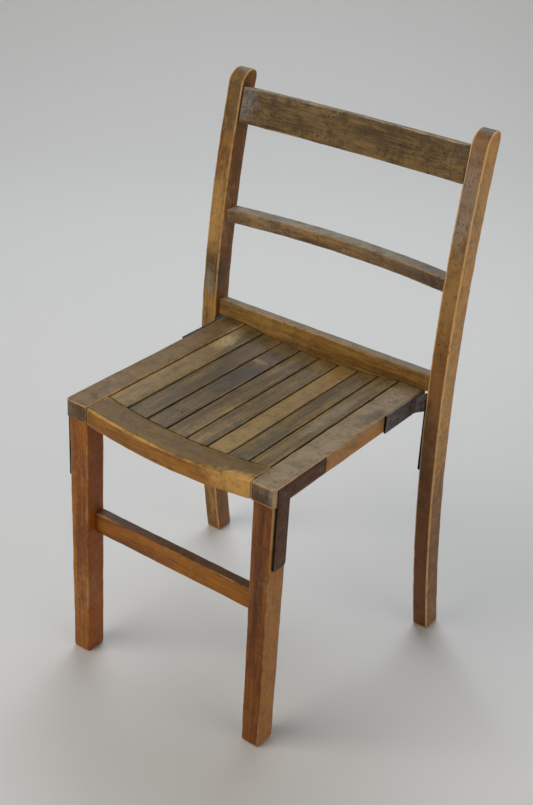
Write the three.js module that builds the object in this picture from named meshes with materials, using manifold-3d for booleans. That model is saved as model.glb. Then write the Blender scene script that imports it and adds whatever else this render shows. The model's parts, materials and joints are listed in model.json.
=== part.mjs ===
// A rigid wooden stacking chair: a dished slat seat on two front legs and two curved back posts,
// held at its four seat corners by flat steel brackets.
//
// Millimetres. The chair faces -Y, +Z is up, and left and right are as seen from its front, so
// right is +X. Lengths along Y are measured back from the seat's front edge, and the finished
// chair is moved at the end so that its origin is on the floor, in the middle of its footprint.

import * as THREE from "three";
import { mergeVertices } from "three/addons/utils/BufferGeometryUtils.js";
import Module from "manifold-3d";

const wasm = await Module();
wasm.setup();

// ---------------------------------------------------------------- driving dimensions

// Seat
const seatHeight = 450; // floor to the top of the side rails
const seatWidth = 375; // over both side rails
const seatDepth = 371; // front edge to the front face of the rail across the back of the seat
const seatDish = 12.5; // how far the middle of the seat is below its sides
const sideRailWidth = 40.5;
const railHeight = 29; // of the side rails and the front rail
const frontRailDepth = 46.5; // the part of the front rail that shows on top
const frontRebateDepth = 14; // ledge behind it that carries the slats
const cornerRadius = 7; // rounded outer corners of the side rails, seen from above
const slatCount = 8;
const slatGap = 3;
const slatThickness = 12;
const bearerHeight = 22; // rail under the rear ends of the slats

// Front legs and the stretcher between them
const legTopWidth = 35.5;
const legFootWidth = 30;
const legOuterTaper = 2; // the part of the taper that is on the outer face
const legDepth = 36.5;
const legSetback = 4; // leg face behind the seat's front edge
const stretcherTop = 258.5;
const stretcherHeight = 34.5;
const stretcherThickness = 17.5;
const stretcherSetback = 17; // behind the face of the legs

// Back posts: two parabolas that meet at the knee, where the post stands furthest forward
const postHeight = 844;
const postWidth = 27.5;
const postDepth = 35.5;
const postClearance = 13.5; // side rail to post, at seat height
const postLean = 0.0097; // inward lean of both posts, sideways rise over height
const postKneeHeight = 420;
const postKneeSetback = 9; // knee in front of the rail across the back of the seat
const footKick = 44; // foot behind the knee
const topRake = 47.5; // top behind the knee
const topFrontRound = 20;
const topRearRound = 14;

// Rails between the posts
const backRailHeight = 28.5; // above the side rails
const backRailThickness = 17.5;
const midRailBottom = 610;
const midRailHeight = 22;
const midRailThickness = 25;
const midRailBow = 17.5;
const midRailRecess = 4; // behind the front face of the posts
const crestBottom = 768;
const crestHeight = 54;
const crestThickness = 20;
const crestBow = 9;
const crestRecess = 3;

// Brackets, of flat steel: the front ones let into the side rails, the rear ones on their faces
const bracketThickness = 3.2;
const bracketTopGap = 1.2; // below the top of the rail
const bracketDrop = 132; // length of the arm down a leg or a post
const housingDepth = 3; // let into the side rail, whose face the leg is set in by as much
const frontBracketSetback = 3; // behind the face of the leg
const frontBracketHeight = 25; // of the arm along the side rail
const frontBracketReach = 112; // length of that arm
const frontBracketLegWidth = 28;
const rearBracketHeight = 29; // flush with the top of the rail, under the back of the seat
const rearBracketReach = 95; // from its front end to the post's front face
const rearBracketPostWidth = 28;
const rearBracketRelief = 4; // behind the post's front face
const joggleLength = 15;
const bracketEndRadius = 4;
const bendRadius = 4;

// Countersunk wood screws
const screwHeadRadius = 4.5;
const screwShankRadius = 2.25;
const screwLength = 22;
const screwTip = 5;
const slotWidth = 1.2;
const slotDepth = 1;
const screwEndDistance = 12.5; // from a bracket arm's end to its screw
const screwCornerSetback = 14; // from the bracket's front edge to its corner screw
const railScrewDrop = 12.5; // from a bracket's top to the screws in the rail
const legScrewShare = 0.45; // place of the middle screw between the rail's and the arm's end
const postScrewShare = 0.35;

// Joints
const gap = 0.3; // between faces that touch
const seatingGap = 0.5; // under the rail across the back of the seat
const tenonGap = 0.3; // around a tenon
const tenonEndGap = 1; // at the bottom of a mortise
const tenonShoulder = 5; // least wood left beside a tenon
const tenonThickness = 12;
const tenonLength = 18;

const CURVE_STEPS = 10;
const DISH_STEPS = 16;
const SCREW_SIDES = 12;
const FAR = 2000; // past the end of every piece

// ---------------------------------------------------------------- sizes that follow

const seatHalf = seatWidth / 2;
const openingHalf = seatHalf - sideRailWidth; // inside the side rails
const legOuter = seatHalf - housingDepth; // outer face of a front leg at its top
const railBottom = seatHeight - railHeight;
const seatBack = seatDepth + backRailThickness; // rear ends of the slats and side rails
const postInner = seatHalf + postClearance;
const postKnee = seatDepth - postKneeSetback;
const bracketTop = seatHeight - bracketTopGap;
const bracketFront = legSetback + frontBracketSetback;
const bracketFoot = bracketTop - bracketDrop;
const railScrewHeight = bracketTop - railScrewDrop;
const cornerScrewY = bracketFront + screwCornerSetback;
const screwHole = screwShankRadius + tenonGap;
const frontBracketFace = legOuter + gap + bracketThickness;
const rearBracketFace = seatHalf + gap + bracketThickness;

// Height of the seat's top surface at a place across it
function dishedHeight(x) {
  const across = Math.min(Math.abs(x) / openingHalf, 1);
  return seatHeight - seatDish * (1 - across ** 2);
}

// Front face of a post, and how steeply it runs back, at a height
function postFront(z) {
  const below = Math.max(postKneeHeight - z, 0) / postKneeHeight;
  const above = Math.max(z - postKneeHeight, 0) / (postHeight - postKneeHeight);
  return postKnee + footKick * below ** 2 + topRake * above ** 2;
}

function topSlope(z) {
  const rise = postHeight - postKneeHeight;
  return (2 * topRake * (z - postKneeHeight)) / rise ** 2;
}

// Inner face of a post at a height
function postInnerFace(z) {
  return postInner - postLean * (z - seatHeight);
}

// Inner face of a front leg at a height
const legInnerTaper = legTopWidth - legFootWidth - legOuterTaper;
function legInnerFace(z) {
  return legOuter - legTopWidth + (legInnerTaper * (railBottom - z)) / railBottom;
}

// ---------------------------------------------------------------- shapes and solids

// Closed outline through corners given as [u, v, radius]; a radius rounds its corner
function outline(corners) {
  const points = corners.map(([u, v]) => new THREE.Vector2(u, v));
  const shape = new THREE.Shape();
  corners.forEach(([, , radius = 0], i) => {
    const corner = points[i];
    const before = points[(i + points.length - 1) % points.length];
    const after = points[(i + 1) % points.length];
    const start = before.clone().sub(corner).setLength(radius).add(corner);
    const end = after.clone().sub(corner).setLength(radius).add(corner);
    if (i === 0) shape.moveTo(start.x, start.y);
    else shape.lineTo(start.x, start.y);
    if (radius > 0) shape.quadraticCurveTo(corner.x, corner.y, end.x, end.y);
  });
  shape.closePath();
  return shape;
}

// Band between two curves v = low(u) and v = high(u)
function band(fromU, toU, low, high) {
  const us = Array.from({ length: DISH_STEPS + 1 }, (_, i) =>
    THREE.MathUtils.lerp(fromU, toU, i / DISH_STEPS),
  );
  const lower = us.map((u) => new THREE.Vector2(u, low(u)));
  const upper = us.map((u) => new THREE.Vector2(u, high(u))).reverse();
  return new THREE.Shape([...lower, ...upper]);
}

// Closed geometry, its shared vertices merged, as a solid that can be joined and cut
function solidOf(geometry) {
  const bare = geometry.clone();
  bare.deleteAttribute("normal");
  bare.deleteAttribute("uv");
  const merged = mergeVertices(bare);
  return new wasm.Manifold(
    new wasm.Mesh({
      numProp: 3,
      vertProperties: merged.attributes.position.array,
      triVerts: new Uint32Array(merged.index.array),
    }),
  );
}

// A solid back as a geometry, with flat faces
function geometryOf(solid) {
  const { vertProperties, triVerts } = solid.getMesh();
  const shared = new THREE.BufferGeometry();
  shared.setAttribute("position", new THREE.BufferAttribute(vertProperties, 3));
  shared.setIndex(new THREE.BufferAttribute(triVerts, 1));
  const geometry = shared.toNonIndexed();
  geometry.computeVertexNormals();
  return geometry;
}

// A flat outline given depth, placed by three axes: its u, its v and its depth
function extruded(shape, depth, uAxis, vAxis, depthAxis, origin) {
  const geometry = new THREE.ExtrudeGeometry(shape, {
    depth,
    bevelEnabled: false,
    curveSegments: CURVE_STEPS,
  });
  const place = new THREE.Matrix4().makeBasis(uAxis, vAxis, depthAxis);
  return geometry.applyMatrix4(place.setPosition(origin));
}

const X = new THREE.Vector3(1, 0, 0);
const Y = new THREE.Vector3(0, 1, 0);
const Z = new THREE.Vector3(0, 0, 1);

// Outline in Y and Z, running from one x to another
function alongX(shape, fromX, toX) {
  return extruded(shape, toX - fromX, Y, Z, X, new THREE.Vector3(fromX, 0, 0));
}

// Outline in X and Z, running from one y to another
function alongY(shape, fromY, toY) {
  const forward = Y.clone().negate();
  return extruded(shape, toY - fromY, X, Z, forward, new THREE.Vector3(0, toY, 0));
}

// Outline in X and Y, running from one z to another
function alongZ(shape, fromZ, toZ) {
  return extruded(shape, toZ - fromZ, X, Y, Z, new THREE.Vector3(0, 0, fromZ));
}

function box(fromX, toX, fromY, toY, fromZ, toZ) {
  const low = new THREE.Vector3(fromX, fromY, fromZ);
  const high = new THREE.Vector3(toX, toY, toZ);
  const size = high.clone().sub(low);
  const middle = low.add(high).multiplyScalar(0.5);
  return new THREE.BoxGeometry(size.x, size.y, size.z).translate(middle.x, middle.y, middle.z);
}

// The shear that leans a post inwards, pivoting at seat height
function leaned(geometry) {
  const shear = new THREE.Matrix4().makeShear(0, 0, 0, 0, -postLean, 0);
  return geometry.applyMatrix4(shear.setPosition(postLean * seatHeight, 0, 0));
}

const joined = (...geometries) => geometries.map(solidOf).reduce((a, b) => a.add(b));
const cutBy = (solid, tools) => tools.reduce((rest, tool) => rest.subtract(solidOf(tool)), solid);

// ---------------------------------------------------------------- screws

// Outline of [radius, distance along] points turned round the Y axis
function turned(points) {
  return new THREE.LatheGeometry(
    points.map(([radius, along]) => new THREE.Vector2(radius, along)),
    SCREW_SIDES,
  );
}

const countersink = screwHeadRadius - screwShankRadius;

// A screw along Y: the face of its head at 0, its tip below, and a slot across the head
function screwBody() {
  const body = turned([
    [0, -screwLength],
    [screwShankRadius, -screwLength + screwTip],
    [screwShankRadius, -countersink],
    [screwHeadRadius, 0],
    [0, 0],
  ]);
  const slot = box(-slotWidth / 2, slotWidth / 2, -slotDepth, slotDepth, -FAR, FAR);
  return geometryOf(cutBy(solidOf(body), [slot]));
}

// The hole that a screw leaves in what it goes through
function screwHoleTool() {
  return turned([
    [0, -screwLength - tenonEndGap],
    [screwHole, -screwLength - tenonEndGap],
    [screwHole, -countersink],
    [screwHeadRadius + tenonGap, 0],
    [screwHeadRadius + tenonGap, tenonEndGap],
    [0, tenonEndGap],
  ]);
}

// Screws' places on the right-hand side: where the head's face is, and which way it looks along X
const frontScrews = [
  { y: bracketFront + frontBracketReach - screwEndDistance, z: railScrewHeight },
  { y: cornerScrewY, z: railScrewHeight },
  { y: cornerScrewY, z: THREE.MathUtils.lerp(railScrewHeight, bracketFoot, legScrewShare) },
  { y: cornerScrewY, z: bracketFoot + screwEndDistance },
].map((place) => ({ ...place, x: frontBracketFace, looks: 1 }));

const rearBracketFront = postKnee - rearBracketReach;
const rearArmMiddle = postKnee + rearBracketRelief + rearBracketPostWidth / 2;
const rearRailScrewYs = [
  rearBracketFront + screwEndDistance,
  postKnee + rearBracketRelief - joggleLength - bendRadius - screwEndDistance,
];
const rearPostScrewZs = [
  THREE.MathUtils.lerp(railScrewHeight, bracketFoot, postScrewShare),
  bracketFoot + screwEndDistance,
];
const rearScrews = [
  ...rearRailScrewYs.map((y) => ({ y, z: railScrewHeight, x: rearBracketFace, looks: 1 })),
  ...rearPostScrewZs.map((z) => ({
    y: rearArmMiddle,
    z,
    x: postInnerFace(z) - gap - bracketThickness,
    looks: -1,
  })),
];

// Turns a screw, or its hole, from along Y to its place along X
function atScrew(geometry, { x, y, z, looks }) {
  return geometry.rotateZ((-looks * Math.PI) / 2).translate(x, y, z);
}

const frontScrewHoles = frontScrews.map((place) => atScrew(screwHoleTool(), place));
const rearScrewHoles = rearScrews.map((place) => atScrew(screwHoleTool(), place));

// ---------------------------------------------------------------- tenons

// A tenon's box, and with grow its mortise; extra is the room at the mortise's end
const tenonBox = (fromX, toX, y, thickness, fromZ, toZ, grow = 0, extra = 0) =>
  box(fromX, toX + extra, y - grow, y + thickness + grow, fromZ - grow, toZ + grow);

const frontTenonY = cornerScrewY + screwHole + tenonShoulder / 2;
function frontRailTenon(grow, extra) {
  const middle = seatHeight - railHeight / 2;
  const half = tenonThickness / 2;
  const from = openingHalf - tenonShoulder;
  const to = openingHalf + tenonLength;
  return tenonBox(from, to, frontTenonY, tenonThickness, middle - half, middle + half, grow, extra);
}

const bearerTop = seatHeight - slatThickness - gap;
function bearerTenon(grow, extra) {
  const fromZ = Math.max(railBottom, bearerTop - bearerHeight) + tenonShoulder / 2;
  const toZ = bearerTop - tenonShoulder / 2;
  const y = seatDepth + (backRailThickness - tenonThickness) / 2;
  const from = openingHalf - tenonShoulder;
  const to = openingHalf + tenonLength;
  return tenonBox(from, to, y, tenonThickness, fromZ, toZ, grow, extra);
}

const legTenonTop = railScrewHeight - screwHole - 2 * tenonEndGap;
function legTenon(grow, extra) {
  const middle = legOuter - legTopWidth / 2;
  const half = tenonThickness / 2 + grow;
  const y = legSetback + tenonShoulder;
  const from = railBottom - tenonShoulder;
  return box(middle - half, middle + half, y - grow, y + tenonThickness + grow, from, legTenonTop + extra);
}

const stretcherY = legSetback + stretcherSetback;
const stretcherShoulder = legInnerFace(stretcherTop) - gap;
function stretcherTenon(grow, extra) {
  const y = stretcherY + (stretcherThickness - tenonThickness) / 2;
  const fromZ = stretcherTop - stretcherHeight + tenonShoulder;
  const to = stretcherShoulder + tenonLength;
  const from = stretcherShoulder - tenonShoulder;
  return tenonBox(from, to, y, tenonThickness, fromZ, stretcherTop - tenonShoulder, grow, extra);
}

// The three rails between the posts, each with its shoulder, thickness, height and place
const crestAngle = Math.atan(topSlope(crestBottom + crestHeight / 2));
const backRailTop = seatHeight + backRailHeight;
const postRails = {
  seat: {
    bottom: seatHeight + seatingGap,
    height: backRailHeight - seatingGap,
    thickness: backRailThickness,
    front: seatDepth,
    angle: 0,
  },
  middle: {
    bottom: midRailBottom,
    height: midRailHeight,
    thickness: midRailThickness,
    front: postFront(midRailBottom + midRailHeight) + midRailRecess,
    angle: 0,
  },
  crest: {
    bottom: crestBottom,
    height: crestHeight / Math.cos(crestAngle),
    thickness: crestThickness,
    front: postFront(crestBottom) + crestRecess,
    angle: crestAngle,
  },
};
for (const rail of Object.values(postRails))
  rail.shoulder = postInnerFace(rail.bottom + rail.height) - gap;

// From a rail's own frame, with its lower front edge at the origin, to its place on the posts
function onPosts(geometry, rail) {
  return geometry.rotateX(-rail.angle).translate(0, rail.front, rail.bottom);
}

function postRailTenon(rail, grow, extra) {
  const y = (rail.thickness - tenonThickness) / 2;
  const from = rail.shoulder - tenonShoulder;
  const to = rail.shoulder + tenonLength;
  const top = rail.height - tenonShoulder;
  const tenon = tenonBox(from, to, y, tenonThickness, tenonShoulder, top, grow, extra);
  return onPosts(tenon, rail);
}

// A copy mirrored in X, with each triangle turned back to face outwards
function mirrored(geometry) {
  const copy = (geometry.index ? geometry.toNonIndexed() : geometry.clone()).scale(-1, 1, 1);
  const { position } = copy.attributes;
  for (let i = 0; i < position.count; i += 3) {
    const first = new THREE.Vector3().fromBufferAttribute(position, i);
    const last = new THREE.Vector3().fromBufferAttribute(position, i + 2);
    position.setXYZ(i, last.x, last.y, last.z);
    position.setXYZ(i + 2, first.x, first.y, first.z);
  }
  copy.computeVertexNormals();
  return copy;
}
const bothEnds = (geometry) => [geometry, mirrored(geometry)];

// ---------------------------------------------------------------- seat

// Side view of the front bracket's flat L, and with grow of the housing it lies in
function frontBracketOutline(grow) {
  const front = bracketFront - grow;
  const inner = bracketFront + frontBracketLegWidth + grow;
  const reach = bracketFront + frontBracketReach + grow;
  const top = bracketTop + grow;
  const under = bracketTop - frontBracketHeight - grow;
  const foot = bracketFoot - grow;
  return outline([
    [front, top],
    [front, foot, bracketEndRadius],
    [inner, foot, bracketEndRadius],
    [inner, under, bracketEndRadius],
    [reach, under, bracketEndRadius],
    [reach, top, bracketEndRadius],
  ]);
}

// Side rail: outermost board of the seat, from the front edge to behind the rail at the back
function sideRail() {
  const plan = outline([
    [openingHalf, 0],
    [seatHalf, 0, cornerRadius],
    [seatHalf, seatBack, cornerRadius],
    [openingHalf, seatBack],
  ]);
  const board = solidOf(alongZ(plan, railBottom, seatHeight));
  const mortises = [frontRailTenon, bearerTenon, legTenon].map((tenon) =>
    tenon(tenonGap, tenonEndGap),
  );
  const housing = alongX(frontBracketOutline(gap), legOuter, FAR);
  return geometryOf(cutBy(board, [...mortises, housing, ...frontScrewHoles, ...rearScrewHoles]));
}

// Front rail: dished above and below, with a rebate behind it for the front ends of the slats
function frontRail() {
  const end = openingHalf - gap;
  const body = band(-end, end, (x) => dishedHeight(x) - railHeight, dishedHeight);
  const slatBed = (x) => dishedHeight(x) - slatThickness - gap;
  const cleared = band(-seatHalf, seatHalf, slatBed, (x) => dishedHeight(x) + railHeight);
  const rail = joined(
    alongY(body, 0, frontRailDepth + frontRebateDepth),
    ...bothEnds(frontRailTenon(0, 0)),
  );
  return geometryOf(cutBy(rail, [alongY(cleared, frontRailDepth, FAR)]));
}

// Rear bearer: under the rear ends of the slats
function rearBearer() {
  const end = openingHalf - gap;
  const high = (x) => dishedHeight(x) - slatThickness - gap;
  const body = band(-end, end, (x) => high(x) - bearerHeight, high);
  return geometryOf(joined(alongY(body, seatDepth, seatBack), ...bothEnds(bearerTenon(0, 0))));
}

// One slat, its four corners on the dished surface
const slatWidth = (2 * openingHalf - (slatCount + 1) * slatGap) / slatCount;
function slat(index) {
  const left = -openingHalf + slatGap + index * (slatWidth + slatGap);
  const right = left + slatWidth;
  const section = outline([
    [left, dishedHeight(left) - slatThickness],
    [right, dishedHeight(right) - slatThickness],
    [right, dishedHeight(right)],
    [left, dishedHeight(left)],
  ]);
  return alongY(section, frontRailDepth + gap, seatBack);
}

// ---------------------------------------------------------------- front legs and stretcher

function frontLeg() {
  const top = railBottom - gap;
  const front = outline([
    [legOuter - legTopWidth, top],
    [legInnerFace(0), 0],
    [legOuter - legOuterTaper, 0],
    [legOuter, top],
  ]);
  const leg = joined(alongY(front, legSetback, legSetback + legDepth), legTenon(0, 0));
  return geometryOf(cutBy(leg, [stretcherTenon(tenonGap, tenonEndGap), ...frontScrewHoles]));
}

function frontStretcher() {
  const fromZ = stretcherTop - stretcherHeight;
  const toY = stretcherY + stretcherThickness;
  const board = box(-stretcherShoulder, stretcherShoulder, stretcherY, toY, fromZ, stretcherTop);
  return geometryOf(joined(board, ...bothEnds(stretcherTenon(0, 0))));
}

// ---------------------------------------------------------------- back posts and their rails

// Side view of a post: each face is one parabola below the knee and one above it, and the top
// is rounded over from front to back
function postOutline() {
  const frontEnd = postHeight - topFrontRound;
  const rearEnd = postHeight - topRearRound;
  const rear = (z) => postFront(z) + postDepth;
  const peak = THREE.MathUtils.lerp(
    postFront(postHeight),
    rear(postHeight),
    topFrontRound / (topFrontRound + topRearRound),
  );
  const frontCorner = postFront(frontEnd) + topSlope(frontEnd) * topFrontRound;
  const rearCorner = rear(rearEnd) + topSlope(rearEnd) * topRearRound;
  const rearKnee = postKnee + postDepth;
  const half = postKneeHeight / 2;

  const shape = new THREE.Shape();
  shape.moveTo(postFront(0), 0);
  shape.lineTo(rear(0), 0);
  shape.quadraticCurveTo(rearKnee, half, rearKnee, postKneeHeight);
  shape.quadraticCurveTo(rearKnee, (postKneeHeight + rearEnd) / 2, rear(rearEnd), rearEnd);
  shape.quadraticCurveTo(rearCorner, postHeight, peak, postHeight);
  shape.quadraticCurveTo(frontCorner, postHeight, postFront(frontEnd), frontEnd);
  shape.quadraticCurveTo(postKnee, (postKneeHeight + frontEnd) / 2, postKnee, postKneeHeight);
  shape.quadraticCurveTo(postKnee, half, postFront(0), 0);
  return shape;
}

function backPost() {
  const post = solidOf(leaned(alongX(postOutline(), postInner, postInner + postWidth)));
  const mortises = Object.values(postRails).map((rail) =>
    postRailTenon(rail, tenonGap, tenonEndGap),
  );
  return geometryOf(cutBy(post, [...mortises, ...rearScrewHoles]));
}

// Rail across the back of the seat: straight on top, following the dish of the slats below
function seatBackRail() {
  const rail = postRails.seat;
  const under = (x) => dishedHeight(x) + seatingGap;
  const board = band(-openingHalf, openingHalf, under, () => backRailTop);
  const end = (fromX, toX) => box(fromX, toX, rail.front, seatBack, rail.bottom, backRailTop);
  const ends = [end(openingHalf, rail.shoulder), end(-rail.shoulder, -openingHalf)];
  const tenons = bothEnds(postRailTenon(rail, 0, 0));
  return geometryOf(joined(alongY(board, rail.front, seatBack), ...ends, ...tenons));
}

// A rail bowed backwards in plan, its ends at its shoulders
function bowedRail(rail, bow) {
  const front = (x) => bow * (1 - (x / rail.shoulder) ** 2);
  const plan = band(-rail.shoulder, rail.shoulder, front, (x) => front(x) + rail.thickness);
  const board = onPosts(alongZ(plan, 0, rail.height), rail);
  return geometryOf(joined(board, ...bothEnds(postRailTenon(rail, 0, 0))));
}

// ---------------------------------------------------------------- brackets

// Front bracket: a flat L, housed in the side rail and lying on the outer face of the front leg
function frontBracket() {
  const plate = solidOf(alongX(frontBracketOutline(0), legOuter + gap, frontBracketFace));
  return geometryOf(cutBy(plate, frontScrewHoles));
}

// Rear bracket: flat on the side rail's outer face, then bent outwards across the space to the
// inner face of the post, and down it
function rearBracket() {
  const railFace = seatHalf + gap;
  const postFace = postInner - gap - bracketThickness;
  const joggleEnd = postKnee + rearBracketRelief;
  const joggleStart = joggleEnd - joggleLength;
  const armEnd = joggleEnd + rearBracketPostWidth;
  const bend = Math.atan2(postFace - railFace, joggleLength);
  const shift = bracketThickness * Math.tan(bend / 2);
  const plan = outline([
    [railFace, rearBracketFront],
    [railFace + bracketThickness, rearBracketFront],
    [railFace + bracketThickness, joggleStart - shift, bendRadius],
    [postFace + bracketThickness, joggleEnd - shift, bendRadius],
    [postFace + bracketThickness, armEnd],
    [postFace, armEnd],
    [postFace, joggleEnd, bendRadius],
    [railFace, joggleStart, bendRadius],
  ]);
  const strip = alongZ(plan, seatHeight - rearBracketHeight, seatHeight);
  const arm = outline([
    [joggleEnd, railScrewHeight],
    [joggleEnd, bracketFoot, bracketEndRadius],
    [armEnd, bracketFoot, bracketEndRadius],
    [armEnd, railScrewHeight],
  ]);
  const down = leaned(alongX(arm, postFace, postFace + bracketThickness));
  return geometryOf(cutBy(joined(strip, down), rearScrewHoles));
}

// ---------------------------------------------------------------- assembly

function material(color, roughness, metalness = 0) {
  return new THREE.MeshStandardMaterial({ color, roughness, metalness });
}
const wornTop = () => material(0x73644b, 0.6);
const warmWood = () => material(0x7c522c, 0.55);
const goldenWood = () => material(0x8c6a35, 0.55);
const darkSteel = () => material(0x3c3230, 0.5, 0.6);
const screwSteel = () => material(0x6d6660, 0.45, 0.9);

const frame = new THREE.Group();

function addPiece(name, geometry, finish) {
  const mesh = new THREE.Mesh(geometry, finish);
  mesh.name = name;
  frame.add(mesh);
}

// A right-hand piece and its mirror image on the left
function addPair(name, geometry, finish) {
  addPiece(`${name}_right`, geometry, finish());
  addPiece(`${name}_left`, mirrored(geometry), finish());
}

addPair("side_rail", sideRail(), wornTop);
addPiece("front_rail", frontRail(), goldenWood());
addPiece("rear_bearer", rearBearer(), warmWood());
for (let i = 0; i < slatCount; i++) addPiece(`seat_slat_${i + 1}`, slat(i), wornTop());

addPair("front_leg", frontLeg(), warmWood);
addPiece("front_stretcher", frontStretcher(), warmWood());

addPair("back_post", backPost(), warmWood);
addPiece("seat_back_rail", seatBackRail(), warmWood());
addPiece("mid_rail", bowedRail(postRails.middle, midRailBow), wornTop());
addPiece("crest_rail", bowedRail(postRails.crest, crestBow), goldenWood());

addPair("front_bracket", frontBracket(), darkSteel);
addPair("rear_bracket", rearBracket(), darkSteel);
frontScrews.forEach((place, i) =>
  addPair(`front_screw_${i + 1}`, atScrew(screwBody(), place), screwSteel),
);
rearScrews.forEach((place, i) =>
  addPair(`rear_screw_${i + 1}`, atScrew(screwBody(), place), screwSteel),
);

// Origin: on the floor, in the middle of the footprint
const footprint = new THREE.Box3().setFromObject(frame).getCenter(new THREE.Vector3());
frame.position.set(-footprint.x, -footprint.y, 0);

const chair = new THREE.Group();
chair.add(frame);

export default chair;
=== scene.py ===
import json
import math

import bmesh
import bpy
from mathutils import Matrix, Vector

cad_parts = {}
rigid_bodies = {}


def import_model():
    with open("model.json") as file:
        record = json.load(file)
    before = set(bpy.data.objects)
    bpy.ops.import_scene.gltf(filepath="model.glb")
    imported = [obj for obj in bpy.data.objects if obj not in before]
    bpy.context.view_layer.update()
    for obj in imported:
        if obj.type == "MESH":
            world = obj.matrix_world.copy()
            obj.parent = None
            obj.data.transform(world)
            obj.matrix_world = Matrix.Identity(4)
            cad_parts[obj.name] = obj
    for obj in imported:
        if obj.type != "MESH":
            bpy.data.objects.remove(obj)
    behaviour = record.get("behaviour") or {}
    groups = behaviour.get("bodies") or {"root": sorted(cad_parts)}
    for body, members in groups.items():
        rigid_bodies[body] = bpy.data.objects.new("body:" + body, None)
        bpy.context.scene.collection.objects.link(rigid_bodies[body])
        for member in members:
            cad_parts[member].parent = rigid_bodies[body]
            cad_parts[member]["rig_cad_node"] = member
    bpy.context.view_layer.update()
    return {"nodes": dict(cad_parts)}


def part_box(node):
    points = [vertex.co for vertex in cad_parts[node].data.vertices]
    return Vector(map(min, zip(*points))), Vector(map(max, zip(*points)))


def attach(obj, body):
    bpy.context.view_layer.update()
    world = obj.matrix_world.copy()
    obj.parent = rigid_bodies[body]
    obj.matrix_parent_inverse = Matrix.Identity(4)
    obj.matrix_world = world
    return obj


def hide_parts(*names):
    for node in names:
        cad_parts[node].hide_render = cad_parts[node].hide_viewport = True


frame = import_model()

# ------------------------------------------------------------------ studio
# A pale paper sheet lies under the chair and rises behind it in one sweep, with broad soft lights
# above and in front. The camera looks down at the chair from a standing person's height.

camera_turn = math.radians(34.83)
camera_down = math.radians(28.99)
camera_tilt = math.radians(3.49)
camera_place = Vector((1.0032, -1.4264, 1.3879))

bpy.ops.object.select_all(action="DESELECT")
bpy.ops.mesh.primitive_plane_add(size=1, location=(0, 0, 0))
sweep = bpy.context.object
sweep.name = "paper_sweep"
sweep.scale = (16, 8, 1)
bpy.ops.object.transform_apply(location=False, rotation=False, scale=True)
bpy.ops.object.mode_set(mode="EDIT")
bpy.ops.mesh.select_mode(type="EDGE")
rim = bmesh.from_edit_mesh(sweep.data)
for edge in rim.edges:
    edge.select_set(all(v.co.y > 1 for v in edge.verts))
bmesh.update_edit_mesh(sweep.data)
bpy.ops.mesh.extrude_region_move(TRANSFORM_OT_translate={"value": (0, 0, 5)})
rim = bmesh.from_edit_mesh(sweep.data)
for edge in rim.edges:
    edge.select_set(all(v.co.y > 1 and v.co.z < 1 for v in edge.verts))
bmesh.update_edit_mesh(sweep.data)
bpy.ops.mesh.bevel(offset=1.8, segments=24, affect="EDGES")
bpy.ops.object.mode_set(mode="OBJECT")
bpy.ops.object.shade_smooth()
sweep.rotation_euler = (0, 0, camera_turn)
paper = bpy.data.materials.new("pale paper")
paper.use_nodes = True
paper_fibre = paper.node_tree.nodes.new("ShaderNodeTexNoise")
paper_fibre.inputs["Scale"].default_value = 3
paper_tone = paper.node_tree.nodes.new("ShaderNodeValToRGB")
paper_tone.color_ramp.elements[0].color = (0.72, 0.72, 0.71, 1)
paper_tone.color_ramp.elements[1].color = (0.78, 0.78, 0.77, 1)
paper_shader = paper.node_tree.nodes["Principled BSDF"]
paper_shader.inputs["Roughness"].default_value = 0.85
paper.node_tree.links.new(paper_fibre.outputs[0], paper_tone.inputs["Fac"])
paper.node_tree.links.new(paper_tone.outputs["Color"], paper_shader.inputs["Base Color"])
sweep.data.materials.append(paper)

air = bpy.data.worlds.new("studio air")
bpy.context.scene.world = air
air.use_nodes = True
air.node_tree.nodes["Background"].inputs["Color"].default_value = (0.82, 0.88, 1.0, 1)
air.node_tree.nodes["Background"].inputs["Strength"].default_value = 0.5

seat_middle = Vector((0, 0, 0.45))
for name, place, size, power, colour in (
    ("front_softbox", (-1.3, -2.4, 2.4), 2.4, 60, (1.0, 0.95, 0.88)),
    ("top_softbox", (-0.9, 1.6, 2.8), 2.2, 45, (0.86, 0.92, 1.0)),
    ("side_softbox", (2.6, -0.2, 1.8), 1.8, 18, (1.0, 0.93, 0.85)),
):
    bpy.ops.object.light_add(type="AREA", location=place)
    softbox = bpy.context.object
    softbox.name = name
    softbox.data.size = size
    softbox.data.energy = power
    softbox.data.color = colour
    aim = seat_middle - Vector(place)
    softbox.rotation_euler = aim.to_track_quat("-Z", "Y").to_euler()

bpy.ops.object.camera_add(location=camera_place)
camera = bpy.context.object
camera.data.lens = 59.65
camera.data.sensor_width = 36
camera.rotation_euler = (
    Matrix.Rotation(camera_turn, 3, "Z")
    @ Matrix.Rotation(math.radians(90) - camera_down, 3, "X")
    @ Matrix.Rotation(camera_tilt, 3, "Z")
).to_euler()
bpy.context.scene.camera = camera
bpy.context.scene.view_settings.view_transform = "Standard"

# ------------------------------------------------------------------ side rails
# The two outer boards of the seat run from the front edge to behind the back posts. Each is a
# planed hardwood length, its outer corners rounded, its arrises eased by hands and worn pale.

mm = 0.001
seat_height = 450 * mm
rail_height = 29 * mm
rail_low, rail_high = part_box("side_rail_right")
front_edge = rail_low.y
opening_half = rail_low.x
seat_half = rail_high.x
rail_bottom = rail_high.z - rail_height
housing_depth = 3 * mm
leg_outer = seat_half - housing_depth


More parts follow.
